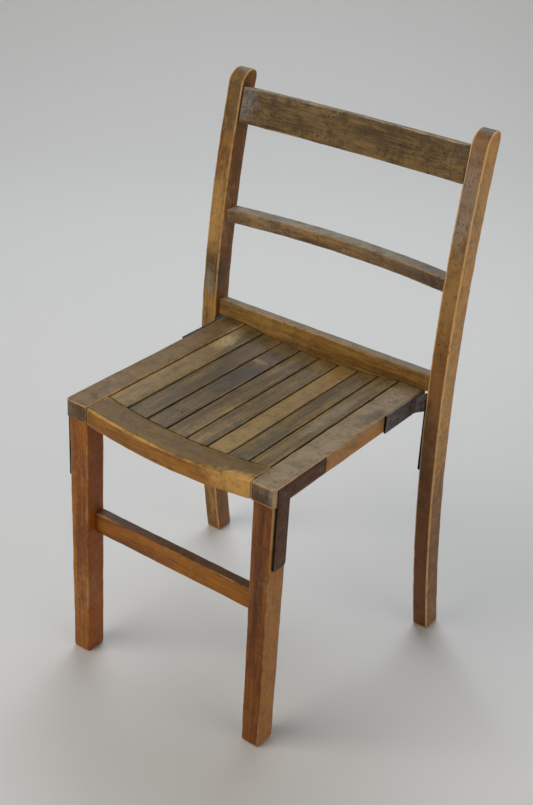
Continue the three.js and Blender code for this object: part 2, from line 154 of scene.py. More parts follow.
def pick(piece, kind, test):
    """Selects only the points, edges or faces of a piece in edit mode that pass a test"""
    bpy.ops.mesh.select_mode(type={"verts": "VERT", "edges": "EDGE", "faces": "FACE"}[kind])
    bpy.ops.mesh.select_all(action="DESELECT")
    mesh = bmesh.from_edit_mesh(piece.data)
    for part in getattr(mesh, kind):
        if test(part):
            part.select_set(True)
    bmesh.update_edit_mesh(piece.data)


def middle(edge):
    return (edge.verts[0].co + edge.verts[1].co) / 2


def runs_along(edge, axis):
    way = edge.verts[1].co - edge.verts[0].co
    return abs(way[axis]) > 0.98 * way.length


def plank(name, low, high):
    """A squared length of timber between two corners, left in edit mode"""
    low, high = Vector(low), Vector(high)
    bpy.ops.object.select_all(action="DESELECT")
    bpy.ops.mesh.primitive_cube_add(size=1, location=(low + high) / 2, scale=high - low)
    piece = bpy.context.object
    piece.name = name
    piece.data.name = name
    bpy.ops.object.transform_apply(location=True, rotation=True, scale=True)
    bpy.ops.object.mode_set(mode="EDIT")
    return piece


def round_over(piece, radius, steps, test):
    """Rounds the edges that pass a test, such as the corner of a rail"""
    pick(piece, "edges", test)
    bpy.ops.mesh.bevel(offset=radius, segments=steps, affect="EDGES", clamp_overlap=False)


def ease_arrises(piece, radius, steps=3):
    """Takes the sharpness off every square edge"""
    bpy.ops.mesh.select_mode(type="EDGE")
    bpy.ops.mesh.select_all(action="DESELECT")
    bpy.ops.mesh.edges_select_sharp(sharpness=math.radians(50))
    bpy.ops.mesh.bevel(offset=radius, segments=steps, affect="EDGES", clamp_overlap=False)


def places_between(start, end, spacing, margin=0.0):
    """Even places from start to end, the first and last a margin inside"""
    start, end = start + margin, end - margin
    count = max(1, round((end - start) / spacing))
    first = 0 if margin else 1
    return [start + (end - start) * i / count for i in range(first, count + 1 - first)]


def rule_lines(piece, axis, places):
    """Cuts lines all round a piece, square to an axis, where it's going to bend or wear"""
    square = Vector((axis == 0, axis == 1, axis == 2))
    for place in places:
        bpy.ops.mesh.select_all(action="SELECT")
        bpy.ops.mesh.bisect(plane_co=square * place, plane_no=square)


def rule_board(piece, low, high, along, spacing=6 * mm, margin=5 * mm):
    """Rules a board along its length, and across it with a line a margin inside each arris"""
    for axis in range(3):
        step = spacing if axis == along else 9 * mm
        rule_lines(piece, axis, places_between(low[axis], high[axis], step, margin))


def duplicate(piece, name):
    """A copy of a finished shape, with its own mesh"""
    bpy.ops.object.select_all(action="DESELECT")
    other = piece.copy()
    other.data = piece.data.copy()
    other.name = name
    other.data.name = name
    bpy.context.collection.objects.link(other)
    bpy.context.view_layer.objects.active = other
    other.select_set(True)
    return other


def mirrored(piece, name):
    """The left-hand twin of a right-hand piece, its faces turned to point outwards again"""
    other = duplicate(piece, name)
    bpy.ops.object.mode_set(mode="EDIT")
    bpy.ops.mesh.select_all(action="SELECT")
    bpy.ops.transform.resize(value=(-1, 1, 1), center_override=(0, 0, 0))
    bpy.ops.mesh.normals_make_consistent(inside=False)
    bpy.ops.object.mode_set(mode="OBJECT")
    return other


def mark_arrises(piece):
    """Groups the points on rounded edges, where the faces that meet there turn by a good angle"""
    shape = bmesh.new()
    shape.from_mesh(piece.data)
    turning = math.radians(12)
    marked = [any(e.calc_face_angle(0) > turning for e in v.link_edges) for v in shape.verts]
    shape.free()
    group = piece.vertex_groups.new(name="arris")
    group.add([i for i, on_arris in enumerate(marked) if on_arris], 1, "REPLACE")
    return marked


def dent(piece, depth):
    """Presses shallow knocks into the arrises, deepest where a soft noise is brightest"""
    knocks = bpy.data.textures.new(f"{piece.name}_knocks", "CLOUDS")
    knocks.noise_scale = 0.03
    knocks.noise_depth = 3
    knocks.contrast = 2.2
    bpy.ops.object.modifier_add(type="DISPLACE")
    press = piece.modifiers[-1]
    press.texture = knocks
    press.texture_coords = "LOCAL"
    press.mid_level = -0.15
    press.strength = -depth
    press.vertex_group = "arris"
    bpy.ops.object.modifier_apply(modifier=press.name)


def hollow_out(piece, low, high):
    """Cuts a squared recess between two corners out of a finished shape"""
    cutter = plank("recess", low, high)
    bpy.ops.object.mode_set(mode="OBJECT")
    bpy.context.view_layer.objects.active = piece
    bpy.ops.object.modifier_add(type="BOOLEAN")
    piece.modifiers[-1].object = cutter
    bpy.ops.object.modifier_apply(modifier=piece.modifiers[-1].name)
    bpy.data.objects.remove(cutter)


def worn_piece(piece, nodes, material, depth=0.6 * mm, tone=0.5):
    """Wears a piece's arrises, notes them for its finish, and puts it in its CAD nodes' place"""
    bpy.ops.object.select_all(action="DESELECT")
    bpy.context.view_layer.objects.active = piece
    piece.select_set(True)
    arris = mark_arrises(piece)
    if depth:
        dent(piece, depth)
    piece.vertex_groups.clear()
    for label, values in (("arris", arris), ("tone", [tone] * len(arris))):
        piece.data.attributes.new(label, "FLOAT", "POINT").data.foreach_set("value", values)
    bpy.ops.object.shade_smooth_by_angle(angle=math.radians(35))
    piece.data.materials.clear()
    piece.data.materials.append(material)
    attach(piece, "root")
    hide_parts(*nodes)


def paint(red, green, blue):
    """A colour as it looks on a 0 to 255 scale, in linear light, less what the sheen adds to it"""
    sheen, brightness = 0.014, 1.25
    seen = [((c / 255 + 0.055) / 1.055) ** 2.4 for c in (red, green, blue)]
    return tuple(max(c - sheen, 0.3 * c) * brightness for c in seen) + (1,)


def put(tree, kind, inputs=(), **settings):
    """Adds a shader node, with its settings, and its inputs by name or number"""
    made = tree.nodes.new("ShaderNode" + kind)
    for name, value in settings.items():
        setattr(made, name, value)
    for name, value in dict(inputs).items():
        if isinstance(value, bpy.types.NodeSocket):
            tree.links.new(value, made.inputs[name])
        else:
            made.inputs[name].default_value = value
    return made


def sums(tree, operation, *terms):
    return put(tree, "Math", dict(enumerate(terms)), operation=operation).outputs[0]


def ramp(tree, value, low, high):
    """0 below low, 1 above high, and a smooth rise between"""
    inputs = {"Value": value, "From Min": low, "From Max": high}
    return put(tree, "MapRange", inputs, interpolation_type="SMOOTHSTEP").outputs["Result"]


def lay(tree, under, over, cover):
    """One colour laid over another where the cover mask is 1"""
    inputs = {"Factor": cover, 6: under, 7: over}
    return put(tree, "Mix", inputs, data_type="RGBA").outputs[2]


def stretched(tree, place, scale):
    inputs = {0: place, 1: scale}
    return put(tree, "VectorMath", inputs, operation="MULTIPLY").outputs[0]


def towards(tree, normal, direction):
    """1 on a face that looks in a direction, 0 on one square to it, and -1 on one that looks away"""
    inputs = {0: normal, 1: direction}
    return put(tree, "VectorMath", inputs, operation="DOT_PRODUCT").outputs["Value"]


def noise(tree, place, scale, detail=4, roughness=0.6):
    inputs = {"Vector": place, "Scale": scale, "Detail": detail, "Roughness": roughness}
    return put(tree, "TexNoise", inputs).outputs[0]


def effect(name, inputs, outputs):
    """A shared effect as a node group: its tree, its input sockets by name, and its exit"""
    tree = bpy.data.node_groups.new(name, "ShaderNodeTree")
    for label, kind in inputs:
        tree.interface.new_socket(label, in_out="INPUT", socket_type=f"NodeSocket{kind}")
    for label, kind in outputs:
        tree.interface.new_socket(label, in_out="OUTPUT", socket_type=f"NodeSocket{kind}")
    return tree, tree.nodes.new("NodeGroupInput").outputs, tree.nodes.new("NodeGroupOutput").inputs


def use(tree, group, inputs):
    """Places a shared effect in a material and gives its outputs"""
    return put(tree, "Group", inputs, node_tree=group).outputs


# Timber grain: streaks, broad growth bands and fine pores, all running along the grain (local X)
timber_grain, grain_in, grain_out = effect(
    "timber grain",
    [("Place", "Vector")],
    [("Streaks", "Float"), ("Bands", "Float"), ("Pores", "Float")],
)
grain_wander = noise(timber_grain, grain_in["Place"], 5, 2)
grain_place = put(
    timber_grain, "VectorMath",
    {0: grain_wander, 1: (0.0, 0.012, 0.012), 2: grain_in["Place"]}, operation="MULTIPLY_ADD",
).outputs[0]
fine_streaks = noise(timber_grain, stretched(timber_grain, grain_place, (9, 260, 260)), 1, 8, 0.85)
growth_bands = noise(timber_grain, stretched(timber_grain, grain_place, (4, 45, 45)), 1, 4, 0.6)
fine_pores = noise(timber_grain, stretched(timber_grain, grain_place, (45, 700, 700)), 1, 2)
timber_grain.links.new(fine_streaks, grain_out["Streaks"])
timber_grain.links.new(growth_bands, grain_out["Bands"])
timber_grain.links.new(ramp(timber_grain, fine_pores, 0.58, 0.7), grain_out["Pores"])

# Rubbed arrises: bare, paler wood where a piece has been handled, broken up by noise
rubbed_arris, arris_in, arris_out = effect(
    "rubbed arris", [("Place", "Vector"), ("Arris", "Float"), ("Rub", "Float")], [("Bare", "Float")]
)
arris_patchy = noise(rubbed_arris, arris_in["Place"], 60, 6, 0.75)
arris_long = noise(rubbed_arris, arris_in["Place"], 11, 2)
arris_sum = sums(rubbed_arris, "ADD", sums(rubbed_arris, "ADD", arris_patchy, arris_long), arris_in["Rub"])
arris_reach = sums(rubbed_arris, "MULTIPLY", arris_in["Arris"], arris_sum)
rubbed_arris.links.new(ramp(rubbed_arris, arris_reach, 0.9, 1.25), arris_out["Bare"])

# Old grime: mottled dark staining and small black specks and knocks
old_grime, grime_in, grime_out = effect(
    "old grime", [("Place", "Vector")], [("Mottle", "Float"), ("Specks", "Float"), ("Scuffs", "Float")]
)
grime_clouds = noise(old_grime, grime_in["Place"], 38, 8, 0.8)
old_grime.links.new(ramp(old_grime, grime_clouds, 0.45, 0.62), grime_out["Mottle"])
grime_dots = noise(old_grime, grime_in["Place"], 240, 3, 0.6)
grime_zones = noise(old_grime, grime_in["Place"], 14, 2)
speck_sum = sums(old_grime, "MULTIPLY_ADD", grime_zones, 0.35, grime_dots)
old_grime.links.new(ramp(old_grime, speck_sum, 0.80, 0.88), grime_out["Specks"])
scuff_noise = noise(old_grime, grime_in["Place"], 70, 6, 0.8)
scuff_zones = noise(old_grime, grime_in["Place"], 8, 2)
scuff_sum = sums(old_grime, "MULTIPLY_ADD", scuff_zones, 0.5, scuff_noise)
old_grime.links.new(ramp(old_grime, scuff_sum, 0.82, 0.95), grime_out["Scuffs"])

# A stain or worn place of a given centre and size, with a ragged rim
worn_place, place_in, place_out = effect(
    "worn place", [("Place", "Vector"), ("Centre", "Vector"), ("Reach", "Vector")], [("Mask", "Float")]
)
place_away = put(
    worn_place, "VectorMath", {0: place_in["Place"], 1: place_in["Centre"]}, operation="SUBTRACT"
).outputs[0]
place_share = put(
    worn_place, "VectorMath", {0: place_away, 1: place_in["Reach"]}, operation="DIVIDE"
).outputs[0]
place_far = put(worn_place, "VectorMath", {0: place_share}, operation="LENGTH").outputs["Value"]
place_ragged = noise(worn_place, place_in["Place"], 70, 5, 0.7)
place_sum = sums(worn_place, "MULTIPLY_ADD", place_ragged, 1.6, place_far)
worn_place.links.new(ramp(worn_place, place_sum, 2.0, 1.25), place_out["Mask"])


def stained_timber(
    name, grain, dark, light, bare, end, top_dust_and_sheen=None, face_tints_and_shade=(), stains=(),
    rub=0.0, mottle=0.35, mottle_colour=(45, 36, 26), specks=0.5, scuffs=0.12,
):
    """Stained and varnished hardwood, worn by use. Grain is the axis that the wood grows along;
    the colour laid on faces that look up is partly dust and partly a painted sheen, the colours for
    other faces are (direction, colour, cover), partly the wood's own wear and partly painted light and
    shade, and stains are (centre, reach, colour, cover) for single marks, a few of them painted
    highlights and sheen."""
    material = bpy.data.materials.new(name)
    material.use_nodes = True
    tree = material.node_tree
    here = put(tree, "TexCoord").outputs
    quarter = math.radians(90)
    turn = {"X": (0, 0, 0), "Y": (0, 0, quarter), "Z": (0, quarter, 0)}[grain]
    along = put(tree, "Mapping", {"Vector": here["Object"], "Rotation": turn}).outputs[0]
    figure = use(tree, timber_grain, {"Place": along})
    tone = put(tree, "Attribute", attribute_name="tone").outputs["Fac"]
    arris = put(tree, "Attribute", attribute_name="arris").outputs["Fac"]
    bare_wood = use(tree, rubbed_arris, {"Place": here["Object"], "Arris": arris, "Rub": rub})["Bare"]
    grime = use(tree, old_grime, {"Place": here["Object"]})

    streaky = sums(tree, "MULTIPLY_ADD", figure["Bands"], 0.7, figure["Streaks"])
    toned = sums(tree, "ADD", streaky, sums(tree, "MULTIPLY", sums(tree, "SUBTRACT", tone, 0.5), 0.5))
    colour = lay(tree, paint(*dark), paint(*light), ramp(tree, toned, 0.68, 1.02))

    def facing(direction):
        return ramp(tree, towards(tree, here["Normal"], direction), 0.45, 0.85)

    def covered(mask, cover):
        return sums(tree, "MULTIPLY", mask, cover)

    # Faces by the way they look, partly dust and wear and partly painted light, shade and sheen, then the
    # cut ends, chipped and pale in places
    # Faces that look up: dust, with a painted grey-blue sheen laid over it
    if top_dust_and_sheen:
        tint, cover = top_dust_and_sheen
        broken = sums(tree, "MULTIPLY_ADD", figure["Streaks"], 0.5, cover - 0.25)
        colour = lay(tree, colour, paint(*tint), covered(facing((0, 0, 1)), broken))
    # Faces that look along an axis take a set colour: partly the wood's own wear, partly painted light on
    # lit faces and painted shade on faces turned from the lamps
    for direction, tint, cover in face_tints_and_shade:
        colour = lay(tree, colour, paint(*tint), covered(facing(direction), cover))
    length = {"X": (1, 0, 0), "Y": (0, 1, 0), "Z": (0, 0, 1)}[grain]
    cut_ends = sums(tree, "ABSOLUTE", towards(tree, here["Normal"], length))
    end_grain = ramp(tree, cut_ends, 0.75, 0.95)
    chips = noise(tree, here["Object"], 90, 6, 0.8)
    colour = lay(tree, colour, paint(*end), covered(end_grain, ramp(tree, chips, 0.3, 0.62)))
    colour = lay(tree, colour, paint(150, 142, 132), covered(end_grain, ramp(tree, chips, 0.6, 0.8)))

    # Single marks, then the dirt and wear that lie over all of the piece
    for centre, reach, stain, cover in stains:
        mask = use(tree, worn_place, {"Place": here["Object"], "Centre": centre, "Reach": reach})["Mask"]
        colour = lay(tree, colour, paint(*stain), covered(mask, cover))
    colour = lay(tree, colour, paint(*mottle_colour), covered(grime["Mottle"], mottle))
    colour = lay(tree, colour, paint(*bare), covered(bare_wood, 0.8))
    colour = lay(tree, colour, paint(175, 165, 145), covered(grime["Scuffs"], scuffs))
    colour = lay(tree, colour, paint(30, 24, 18), covered(figure["Pores"], 0.5))
    colour = lay(tree, colour, paint(28, 24, 20), covered(grime["Specks"], specks))

    # Rubbed and streaky places are duller, and streaks, bands, pores and specks stand in relief
    dull = sums(tree, "MULTIPLY_ADD", figure["Streaks"], 0.3, 0.31)
    dull = sums(tree, "MULTIPLY_ADD", bare_wood, 0.15, dull)
    ridges = sums(tree, "MULTIPLY", figure["Bands"], 0.4)
    ridges = sums(tree, "MULTIPLY_ADD", figure["Streaks"], 0.6, ridges)
    height = sums(tree, "SUBTRACT", ridges, sums(tree, "MULTIPLY", figure["Pores"], 0.35))
    height = sums(tree, "SUBTRACT", height, sums(tree, "MULTIPLY", grime["Specks"], 0.5))
    relief = put(tree, "Bump", {"Height": height, "Strength": 0.7, "Distance": 0.0008}).outputs[0]
    shader = tree.nodes["Principled BSDF"]
    shader.inputs["Specular IOR Level"].default_value = 0.3
    tree.links.new(colour, shader.inputs["Base Color"])
    tree.links.new(dull, shader.inputs["Roughness"])
    tree.links.new(relief, shader.inputs["Normal"])
    return material


side_rail_wood = stained_timber(
    "side rail wood", "Y", dark=(84, 64, 42), light=(138, 104, 62), bare=(178, 144, 100),
    end=(80, 64, 52), top_dust_and_sheen=((125, 108, 80), 0.65), face_tints_and_shade=[((1, 0, 0), (182, 126, 64), 0.75)],
    stains=[
        ((0.184, front_edge, 0.436), (0.009, 0.009, 0.02), (132, 126, 118), 0.7),
        ((0.167, 0.0, 0.45), (0.03, 0.3, 0.02), (150, 134, 108), 0.5),
        ((-0.167, 0.0, 0.45), (0.03, 0.3, 0.02), (104, 78, 38), 0.5),
        ((-0.184, front_edge, 0.438), (0.012, 0.01, 0.02), (104, 104, 104), 0.6),
        ((0.177, 0.035, 0.45), (0.012, 0.03, 0.01), (62, 58, 54), 0.5),
    ],
    rub=0.1, mottle=0.4,
)
right_rail = plank("side_rail_wood_right", rail_low, rail_high)
round_over(right_rail, 7 * mm, 4, lambda e: runs_along(e, 2) and middle(e).x > seat_half - mm)
ease_arrises(right_rail, 1.8 * mm)
rule_board(right_rail, rail_low, rail_high, along=1)
bpy.ops.object.mode_set(mode="OBJECT")
recess_front = front_edge + 6.7 * mm
recess_top = seat_height - 0.9 * mm
recess_outside = seat_half + 5 * mm
arm_recess = (112.6 * mm, 25.6 * mm)
leg_recess = (28.6 * mm, 40 * mm)
for recess_length, recess_depth in (arm_recess, leg_recess):
    recess_low = (leg_outer, recess_front, recess_top - recess_depth)
    hollow_out(right_rail, recess_low, (recess_outside, recess_front + recess_length, recess_top))
left_rail = mirrored(right_rail, "side_rail_wood_left")
worn_piece(right_rail, ["side_rail_right"], side_rail_wood)
worn_piece(left_rail, ["side_rail_left"], side_rail_wood)

# ------------------------------------------------------------------ front rail
# One broad board between the side rails, dished above and below. Its front arris is rubbed down by
# sitters' legs, and a rebate behind it takes the front ends of the slats.

gap = 0.3 * mm
seat_dish = 12.5 * mm
slat_thickness = 12 * mm
front_rail_back = front_edge + 46.5 * mm


def dish(x):
    """How far the seat's surface is below the side rails at a place across it"""
    return seat_dish * (1 - min(abs(x) / opening_half, 1) ** 2)


def each_line(piece, axis):
    """Selects each ruled line of points along an axis in turn, and gives its place"""
    for place in sorted({round(v.co[axis], 5) for v in bmesh.from_edit_mesh(piece.data).verts}):
        pick(piece, "verts", lambda v: abs(v.co[axis] - place) < 6e-6)
        yield place


def bend(piece, axis, shift):
    """Moves each line of points along an axis by what shift gives for its place"""
    for place in each_line(piece, axis):
        bpy.ops.transform.translate(value=shift(place))


front_end = opening_half - gap
ledge = seat_height - slat_thickness - gap
ledge_reach = 14 * mm
front_low, front_high = (-front_end, front_edge, rail_bottom), (front_end, front_rail_back, seat_height)
front_board = plank("front_rail_wood", front_low, front_high)
rule_lines(front_board, 2, [ledge])
pick(front_board, "faces", lambda f: f.normal.y > 0.9 and f.calc_center_median().z < ledge)
bpy.ops.mesh.extrude_region_move(TRANSFORM_OT_translate={"value": (0, ledge_reach, 0)})


def on_top_front(edge):
    """The arris that sitters' legs rub"""
    place = middle(edge)
    return runs_along(edge, 0) and place.y < front_edge + mm and place.z > ledge + mm


round_over(front_board, 4.5 * mm, 5, on_top_front)
ease_arrises(front_board, 2 * mm)
rule_board(front_board, front_low, front_high, along=0)
bend(front_board, 0, lambda x: (0, 0, -dish(x)))
bpy.ops.object.mode_set(mode="OBJECT")
front_rail_wood = stained_timber(
    "front rail wood", "X", dark=(100, 62, 26), light=(154, 107, 44), bare=(190, 150, 88),
    end=(60, 46, 34), top_dust_and_sheen=((90, 77, 42), 0.7),
    stains=[((0.14, front_edge, 0.43), (0.07, 0.02, 0.03), (200, 152, 84), 0.7)],
    rub=0.12, mottle=0.3,
)
worn_piece(front_board, ["front_rail"], front_rail_wood, 0.8 * mm)

# ------------------------------------------------------------------ rear bearer and slats
# Eight thin slats lie side by side with narrow dark gaps, their front ends in the front rail's
# rebate and their rear ends on a bearer between the side rails. Sitting has greyed and scuffed them.

bearer_low, bearer_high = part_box("rear_bearer")
bearer_height = 22 * mm
bearer_low = (-front_end, bearer_low.y, ledge - bearer_height)
bearer_high = (front_end, bearer_high.y, ledge)
bearer = plank("rear_bearer_wood", bearer_low, bearer_high)
ease_arrises(bearer, 1 * mm, 2)
rule_board(bearer, bearer_low, bearer_high, along=0, spacing=9 * mm)
bend(bearer, 0, lambda x: (0, 0, -dish(x)))
bpy.ops.object.mode_set(mode="OBJECT")
under_wood = stained_timber(
    "underside wood", "X", dark=(66, 40, 24), light=(104, 66, 36), bare=(150, 110, 70), end=(58, 44, 36),
    rub=-0.1, mottle=0.4,
)
worn_piece(bearer, ["rear_bearer"], under_wood)

slat_wood = stained_timber(
    "slat wood", "Y", dark=(84, 70, 48), light=(136, 112, 68), bare=(150, 126, 90), end=(70, 58, 46),
    face_tints_and_shade=[((0, 0, -1), (96, 62, 36), 0.7)], rub=-0.05, mottle_colour=(62, 58, 52),
    stains=[
        ((-0.133, 0.081, 0.44), (0.016, 0.03, 0.03), (190, 168, 120), 0.55),
        ((-0.059, 0.076, 0.44), (0.014, 0.008, 0.03), (158, 136, 104), 0.5),
        ((-0.056, 0.01, 0.44), (0.022, 0.07, 0.03), (66, 64, 64), 0.55),
        ((0.128, 0.0, 0.44), (0.012, 0.09, 0.03), (150, 144, 128), 0.4),
        ((0.057, 0.103, 0.44), (0.02, 0.04, 0.03), (140, 96, 44), 0.5),
        # A broad pale band across the rear of the slats is a painted sheen
        ((0.05, 0.16, 0.44), (0.2, 0.05, 0.03), (150, 128, 88), 0.4),
    ],
)
slat_count = 8
slat_gap = 3 * mm
slat_width = (2 * opening_half - (slat_count + 1) * slat_gap) / slat_count
slat_low, slat_high = (0, front_rail_back + gap, -slat_thickness), (slat_width, rail_high.y, 0)
first_slat = plank("slat", slat_low, slat_high)
ease_arrises(first_slat, 1 * mm, 2)
rule_board(first_slat, slat_low, slat_high, along=1, margin=4 * mm)
bpy.ops.object.mode_set(mode="OBJECT")
slat_tones = (0.55, 0.45, 0.25, 0.35, 0.4, 0.8, 0.35, 0.5)
for number, tone in enumerate(slat_tones, 1):
    left = -opening_half + slat_gap + (number - 1) * (slat_width + slat_gap)
    fall = (dish(left + slat_width) - dish(left)) / slat_width
    slat = duplicate(first_slat, f"slat_{number}_wood")
    bpy.ops.object.mode_set(mode="EDIT")
    bend(slat, 0, lambda x: (left, 0, seat_height - dish(left) - fall * x))
    bpy.ops.object.mode_set(mode="OBJECT")
    worn_piece(slat, [f"seat_slat_{number}"], slat_wood, 0.4 * mm, tone=tone)
bpy.data.objects.remove(first_slat)

# ------------------------------------------------------------------ front legs and stretcher
# Two square legs stand under the side rails and taper to their feet, stained red-brown and least
# worn inside, with painted shade on the faces that look away from the light. A thin stretcher is
# tenoned between them. The feet are scraped and battered.

leg_top = rail_bottom - gap
leg_top_width = 35.5 * mm
leg_foot_width = 30 * mm
leg_outer_taper = 2 * mm
leg_depth = 36.5 * mm
leg_front = front_edge + 4 * mm

leg_low = (leg_outer - leg_top_width, leg_front, 0)
leg_high = (leg_outer, leg_front + leg_depth, leg_top)
right_leg = plank("front_leg_wood_right", leg_low, leg_high)
pick(right_leg, "faces", lambda f: f.normal.z < -0.9)
bpy.ops.transform.resize(value=(leg_foot_width / leg_top_width, 1, 1), center_override=(leg_outer, 0, 0))
bpy.ops.transform.translate(value=(-leg_outer_taper, 0, 0))
round_over(right_leg, 3.5 * mm, 3, lambda e: middle(e).z < mm)
ease_arrises(right_leg, 2 * mm)
rule_board(right_leg, leg_low, leg_high, along=2)
bpy.ops.object.mode_set(mode="OBJECT")
left_leg = mirrored(right_leg, "front_leg_wood_left")
leg_wood = stained_timber(
    "front leg wood", "Z", dark=(84, 47, 8), light=(134, 82, 18), bare=(160, 126, 88), end=(56, 44, 36),
    face_tints_and_shade=[
        ((1, 0, 0), (174, 120, 62), 0.75),
        ((-1, 0, 0), (84, 44, 12), 0.7),
        ((0, 1, 0), (92, 56, 32), 0.5),
    ],
    rub=0.06, mottle=0.3,
)
left_leg_wood = stained_timber(
    "left front leg wood", "Z", dark=(116, 66, 2), light=(170, 108, 8), bare=(170, 134, 90),
    end=(56, 44, 36),
    face_tints_and_shade=[
        ((-1, 0, 0), (112, 74, 50), 0.6),
        ((1, 0, 0), (150, 82, 2), 0.85),
        ((0, 1, 0), (92, 56, 32), 0.5),
    ],
    rub=0.06, mottle=0.25,
)
worn_piece(right_leg, ["front_leg_right"], leg_wood)
worn_piece(left_leg, ["front_leg_left"], left_leg_wood)

stretcher_top = 258.5 * mm
stretcher_height = 34.5 * mm
leg_inner_taper = leg_top_width - leg_foot_width - leg_outer_taper
stretcher_end = leg_outer - leg_top_width + leg_inner_taper * (1 - stretcher_top / rail_bottom) - gap
stretcher_low = (-stretcher_end, leg_front + 17 * mm, stretcher_top - stretcher_height)
stretcher_high = (stretcher_end, leg_front + 34.5 * mm, stretcher_top)
stretcher = plank("front_stretcher_wood", stretcher_low, stretcher_high)
ease_arrises(stretcher, 1.5 * mm)
rule_board(stretcher, stretcher_low, stretcher_high, along=0)
bpy.ops.object.mode_set(mode="OBJECT")
stretcher_wood = stained_timber(
    "stretcher wood", "X", dark=(104, 62, 8), light=(152, 96, 16), bare=(176, 132, 80), end=(60, 44, 34),
    top_dust_and_sheen=((92, 80, 72), 0.8), mottle=0.25,
)
worn_piece(stretcher, ["front_stretcher"], stretcher_wood)

# ------------------------------------------------------------------ back posts
# Each post is sawn from one board in a long curve, set forward at the seat and raked back above and
# below it, and rounded over at the top. The two lean slightly towards each other.

post_height = 844 * mm
post_width = 27.5 * mm
post_depth = 35.5 * mm
post_inner = seat_half + 13.5 * mm
post_lean = 0.0097
knee_height = 420 * mm
knee_front = front_edge + 362 * mm
foot_kick = 44 * mm
top_rake = 47.5 * mm
joint_back = front_edge + 371 * mm


def post_front(z):
    """Front face of a post at a height: one parabola below the knee and one above it"""
    if z < knee_height:
        return knee_front + foot_kick * ((knee_height - z) / knee_height) ** 2
    return knee_front + top_rake * ((z - knee_height) / (post_height - knee_height)) ** 2


def post_inner_face(z):
    return post_inner - post_lean * (z - seat_height)


def across_top(edge):
    return runs_along(edge, 0) and middle(edge).z > post_height - mm


post_low, post_high = (0, 0, 0), (post_width, post_depth, post_height)
right_post = plank("back_post_wood_right", post_low, post_high)
round_over(right_post, 20 * mm, 8, lambda e: across_top(e) and middle(e).y < mm)
round_over(right_post, 14 * mm, 6, lambda e: across_top(e) and middle(e).y > post_depth - mm)
round_over(right_post, 3 * mm, 2, lambda e: middle(e).z < mm)
ease_arrises(right_post, 2 * mm)
rule_board(right_post, post_low, post_high, along=2)
bend(right_post, 2, lambda z: (post_inner_face(z), post_front(z), 0))
bpy.ops.object.mode_set(mode="OBJECT")
left_post = mirrored(right_post, "back_post_wood_left")
# The posts' outer faces are laid lighter as painted light and their inner faces darker as painted shade,
# over their own wear
right_post_wood = stained_timber(
    "right post wood", "Z", dark=(88, 52, 24), light=(136, 88, 46), bare=(204, 162, 108), end=(78, 70, 52),
    face_tints_and_shade=[
        ((1, 0, 0), (200, 154, 92), 0.75),
        ((-1, 0, 0), (104, 60, 30), 0.6),
        ((0, -1, 0), (138, 104, 66), 0.5),
    ],
    stains=[
        ((0.205, 0.17, 0.74), (0.03, 0.02, 0.12), (144, 130, 112), 0.65),
        ((0.205, 0.15, 0.62), (0.03, 0.02, 0.09), (158, 126, 78), 0.5),
        ((0.205, 0.18, 0.12), (0.06, 0.1, 0.3), (100, 58, 8), 0.75),
    ],
    rub=0.36, mottle=0.3,
)
left_post_wood = stained_timber(
    "left post wood", "Z", dark=(104, 72, 34), light=(166, 122, 62), bare=(190, 150, 104), end=(78, 70, 52),
    face_tints_and_shade=[((1, 0, 0), (124, 74, 38), 0.65), ((-1, 0, 0), (140, 100, 60), 0.5)],
    stains=[
        ((-0.215, 0.145, 0.525), (0.03, 0.03, 0.045), (84, 70, 50), 0.8),
        ((-0.215, 0.145, 0.505), (0.012, 0.03, 0.03), (150, 138, 114), 0.5),
        ((-0.21, 0.18, 0.80), (0.03, 0.03, 0.07), (92, 72, 46), 0.7),
        ((-0.215, 0.15, 0.63), (0.03, 0.03, 0.08), (186, 146, 90), 0.5),
    ],
    rub=0.2,
)
worn_piece(right_post, ["back_post_right"], right_post_wood)
worn_piece(left_post, ["back_post_left"], left_post_wood)

# ------------------------------------------------------------------ rails between the posts
# A deep rail closes the back of the seat, a slim one is at the waist and a broad crest joins the
# tops. The upper two are bowed back for the sitter, and hands have marked the crest all over.

back_thickness = 17.5 * mm
back_top = seat_height + 28.5 * mm
back_bottom = seat_height + 0.5 * mm
back_end = post_inner_face(back_top) - gap
back_low = (-back_end, joint_back, back_bottom)
back_high = (back_end, joint_back + back_thickness, back_top)
seat_back = plank("seat_back_rail_wood", back_low, back_high)
ease_arrises(seat_back, 2 * mm)
rule_board(seat_back, back_low, back_high, along=0)
for place in each_line(seat_back, 0):
    if abs(place) < opening_half:
        taller = 1 + dish(place) / (back_top - back_bottom)
        bpy.ops.transform.resize(value=(1, 1, taller), center_override=(0, 0, back_top))
bpy.ops.object.mode_set(mode="OBJECT")
seat_back_wood = stained_timber(
    "seat back wood", "X", dark=(108, 78, 42), light=(162, 124, 70), bare=(166, 134, 90), end=(60, 46, 36),
    top_dust_and_sheen=((116, 108, 92), 0.8), rub=0.05, mottle=0.3,
)
worn_piece(seat_back, ["seat_back_rail"], seat_back_wood)


def bowed_rail(name, bottom, height, thickness, front, bow, lean=0.0):
    """A rail between the posts, bowed backwards in plan, its lower front edge at front and bottom"""
    end = post_inner_face(bottom + height) - gap
    low, high = (-end, 0, 0), (end, thickness, height)
    rail = plank(name, low, high)
    ease_arrises(rail, 2 * mm)
    rule_board(rail, low, high, along=0)
    bend(rail, 0, lambda x: (0, bow * (1 - (x / end) ** 2), 0))
    bpy.ops.mesh.select_all(action="SELECT")
    bpy.ops.transform.rotate(value=lean, orient_axis="X", center_override=(0, 0, 0))
    bpy.ops.transform.translate(value=(0, front, bottom))
    bpy.ops.object.mode_set(mode="OBJECT")
    return rail


